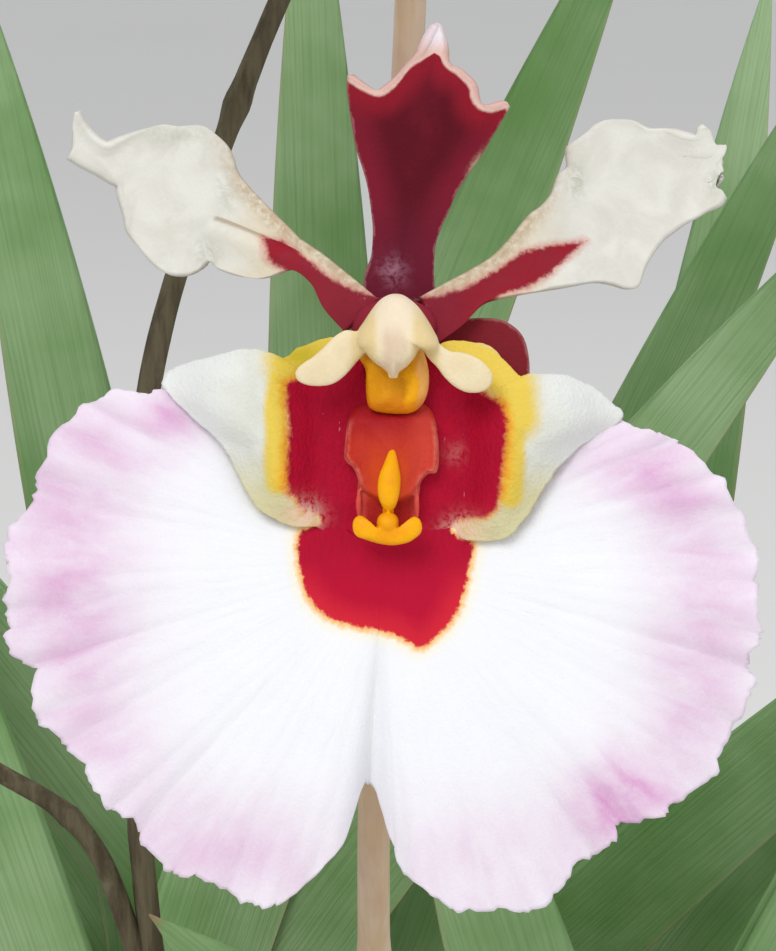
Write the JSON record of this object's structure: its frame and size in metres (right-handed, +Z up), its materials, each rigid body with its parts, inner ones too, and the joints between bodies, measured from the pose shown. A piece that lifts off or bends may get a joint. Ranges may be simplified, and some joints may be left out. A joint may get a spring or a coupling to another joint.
{
  "type": "potted tolumnia orchid",
  "caption": "Dancing-lady orchid in a clay pot of bark: fans of sword leaves, a dry old stalk, and an arching spike of white and rose blooms with crimson hearts.",
  "frame": {"origin": "middle of the pot's flat base, on the surface that it stands on", "axes": "+Z up, along the plant's height; the blooms look towards -Y; +X to the right seen from the front"},
  "size_m": [0.153, 0.1753, 0.267],
  "materials": {
    "clay": "matte",
    "bark": "matte",
    "leaf": "satin",
    "stalk": "satin",
    "dry_stalk": "matte",
    "sepal": "satin",
    "petal": "satin",
    "lip": "satin",
    "crest": "satin",
    "column": "satin"
  },
  "bodies": {
    "root": {"pot": "clay", "potting_mix": "bark", "leaf_fan_1": "leaf", "leaf_fan_2": "leaf", "leaf_fan_3": "leaf", "leaf_fan_4": "leaf", "leaf_fan_5": "leaf", "flower_spike": "stalk", "spent_stalk": "dry_stalk", "bloom_1_sepals": "sepal", "bloom_1_petals": "petal", "bloom_1_lip": "lip", "bloom_1_crest": "crest", "bloom_1_column": "column", "bloom_2_sepals": "sepal", "bloom_2_petals": "petal", "bloom_2_lip": "lip", "bloom_2_crest": "crest", "bloom_2_column": "column", "bloom_3_sepals": "sepal", "bloom_3_petals": "petal", "bloom_3_lip": "lip", "bloom_3_crest": "crest", "bloom_3_column": "column", "bloom_4_sepals": "sepal", "bloom_4_petals": "petal", "bloom_4_lip": "lip", "bloom_4_crest": "crest", "bloom_4_column": "column", "bloom_5_sepals": "sepal", "bloom_5_petals": "petal", "bloom_5_lip": "lip", "bloom_5_crest": "crest", "bloom_5_column": "column"}
  },
  "joints": []
}
